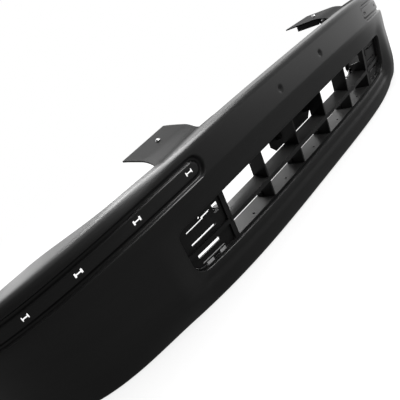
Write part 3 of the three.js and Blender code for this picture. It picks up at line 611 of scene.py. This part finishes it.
def punch(keep, s1, middle):
    """Leaves out the cells of one clip slot: a slit with a crosswise foot at each end."""
    line = np.argmin(np.abs(s1[:, None] - middle - SLOT_LINES * np.sign(middle)), 0)
    near, neck, far_neck, far = np.sort(line)[[1, 3, 6, 8]]
    keep[SLOT_FOOT_ROWS, near:neck] = False
    keep[SLOT_FOOT_ROWS, far_neck:far] = False
    keep[SLOT_SLIT_ROWS, neck:far_neck] = False


def arch_flange(side, points, z):
    """Rows that turn in square to the skin from the wing's end, round a small radius; they
    shrink to a hem at the foot and at the shelf."""
    two = points[:, :-3:-1] if side > 0 else points[:, :2]
    end, onward = two[:, 0], two[:, 0] - two[:, 1]
    onward /= np.linalg.norm(onward, axis=-1, keepdims=True)
    inward = np.cross(np.gradient(end, axis=0), onward) * side
    inward /= np.linalg.norm(inward, axis=-1, keepdims=True)
    reach = (smooth(z, *FLANGE_FOOT) * (1 - smooth(z, *FLANGE_HEAD)))[:, None]
    for along, into in FLANGE_STEPS:
        yield end + (onward * along + inward * (into * lerp(FLANGE_LEAST, 1.0, reach))) * MM


def moulded_plastic(name, level, satin, grain, painted_shade_share=None):
    """Black polypropylene: fine spark-eroded grain, faint flow marks, dust on what looks up,
    and paler, smoother scuffs where hands and cartons rub. The last argument, if given, is
    painted shade: the share at each place of a near-black, rough, barely glossy shader."""
    paint = Paint(bpy.data.materials.new(name))
    where = paint.place()
    fine = paint.noise(where, grain, 3.0, 0.6)
    broad = paint.noise(where, 7.0, 3.0)
    marks = paint.noise(paint.stretched(where, (1.2, 5.0, 22.0)), 1.0, 4.0, 0.62)
    scuffs = paint.noise(paint.stretched(where, (40.0, 260.0, 300.0)), 1.0, 2.0).ramp(0.69, 0.78)
    surface = paint.node("ShaderNodeNewGeometry")
    facing = paint.axes(Signal(paint, surface.outputs["Normal"]))[2]
    worn = Signal(paint, surface.outputs["Pointiness"]).ramp(0.53, 0.62) * broad.ramp(0.35, 0.7)
    dust = facing.ramp(0.55, 1.0) * broad.ramp(0.3, 0.75)
    shade = paint.blend(0.4 * marks.ramp(0.35, 0.75), grey(level), grey(level * 1.8, 0.01))
    shade = paint.blend(0.035 * dust, shade, grey(0.32, 0.02))
    shade = paint.blend(0.10 * scuffs + 0.16 * worn, shade, grey(0.09))
    rough = satin + 0.07 * (broad - 0.5) + 0.08 * dust
    rough = rough + 0.05 * (marks - 0.5) - 0.05 * (scuffs + worn)
    values = {"Strength": 0.2, "Distance": 0.12 * MM, "Height": fine}
    bump = paint.node("ShaderNodeBump", None, values)
    shader = paint.node("ShaderNodeBsdfPrincipled", None, {
        "Base Color": shade, "Roughness": rough, "IOR": 1.47, "Specular IOR Level": 0.5,
        "Normal": Signal(paint, bump.outputs["Normal"])})
    # Painted shade: a near-black, rough, barely glossy shader is mixed in where the mask says.
    if painted_shade_share is not None:
        values = {"Base Color": grey(0.003), "Roughness": 0.9, "Specular IOR Level": 0.05}
        painted_shade_shader = paint.node("ShaderNodeBsdfPrincipled", None, values)
        shader = paint.mix(0.8 * painted_shade_share(paint, where), shader, painted_shade_shader)
    return paint.finish("ShaderNodeOutputMaterial", shader)


TOWER_BEHIND, TOWER_WITHIN, TOWER_ABOVE = (-0.178, -0.160), (0.40, 0.43), (0.255, 0.262)


def tower_painted_shade(paint, where):
    """Painted shade: 1 on the towers, which are painted near black and dull, and 0 elsewhere:
    behind the shelf's edge, within the towers' outer sides and near the top."""
    x, y, z = paint.axes(where)
    inside = 1 - x.maths("ABSOLUTE", x).ramp(*TOWER_WITHIN)
    return y.ramp(*TOWER_BEHIND) * inside * z.ramp(*TOWER_ABOVE)


def add_cover():
    """The skin with its wall put on inwards and its free edges rounded."""
    mesh = cover_mesh()
    piece = bpy.data.objects.new("cover_moulding", mesh)
    # The tower mask paints shade onto the towers: there the cover is made near black.
    satin_black = moulded_plastic("satin_black_polypropylene", 0.010, 0.36, 1700.0, tower_painted_shade)
    mesh.materials.append(satin_black)
    bpy.context.scene.collection.objects.link(piece)
    wall = piece.modifiers.new("wall", "SOLIDIFY")
    wall.thickness = (WALL - WALL_PLAY) * MM
    wall.offset = -1.0
    wall.use_even_offset = False
    wall.use_quality_normals = True
    edge = piece.modifiers.new("edge", "BEVEL")
    edge.width = 0.5 * MM
    edge.segments = 2
    edge.limit_method = "ANGLE"
    edge.angle_limit = np.radians(60)
    edge.harden_normals = True
    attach(piece, "root")
    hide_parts("bumper_cover")


add_cover()


def finish_node(name, material):
    """Gives every material slot of a CAD node the same material."""
    data = nodes[name].data
    if not data.materials:
        data.materials.append(material)
    for slot in nodes[name].material_slots:
        slot.material = material


finish_node("lower_grille", moulded_plastic("matt_black_polypropylene", 0.006, 0.29, 1300.0))

# ---------------------------------------------------------------- the lamp-hole blanks
# Thin plates with slits that fill the ends of the intake where fog lamps would go. They are
# moulded in plain black polypropylene and screwed to the grille's end posts from behind.
blank_black = moulded_plastic("plain_black_polypropylene", 0.004, 0.58, 1100.0)
for side in ("left", "right"):
    finish_node(f"lamp_blank_{side}", blank_black)

# ---------------------------------------------------------------- brackets
# The support panel behind the middle bays, the ribbed braces under the towers and the guides
# under the wings' top flanges: glass-filled polypropylene, dull and slightly brownish.
bracket_black = moulded_plastic("glass_filled_polypropylene", 0.008, 0.62, 700.0)
finish_node("centre_support_panel", bracket_black)
for side in ("left", "right"):
    finish_node(f"tower_brace_{side}", bracket_black)
    finish_node(f"side_retainer_{side}", bracket_black)

# ---------------------------------------------------------------- screws
# Pan-head self-tapping screws in zinc-plated steel, driven through the hem, the blanks' ears,
# the panel, the towers and the wings' top flanges.


def plated_steel():
    """Zinc plate over steel: a bright grey with cloudy, slightly blue passivation."""
    paint = Paint(bpy.data.materials.new("zinc_plated_steel"))
    where = paint.place()
    cloud = paint.noise(where, 420.0, 4.0, 0.6)
    spots = paint.noise(where, 2600.0, 2.0).ramp(0.6, 0.75)
    shade = paint.blend(cloud, grey(0.36, -0.03), grey(0.52, 0.02))
    shade = paint.blend(0.4 * spots, shade, grey(0.17, 0.08))
    values = {"Strength": 0.15, "Distance": 0.05 * MM, "Height": cloud}
    bump = paint.node("ShaderNodeBump", None, values)
    shader = paint.node("ShaderNodeBsdfPrincipled", None, {
        "Base Color": shade, "Metallic": 1.0, "Roughness": 0.26 + 0.22 * cloud + 0.2 * spots,
        "Normal": Signal(paint, bump.outputs["Normal"])})
    return paint.finish("ShaderNodeOutputMaterial", shader)


zinc = plated_steel()
for name in sorted(nodes):
    if "_screw_" in name:
        finish_node(name, zinc)
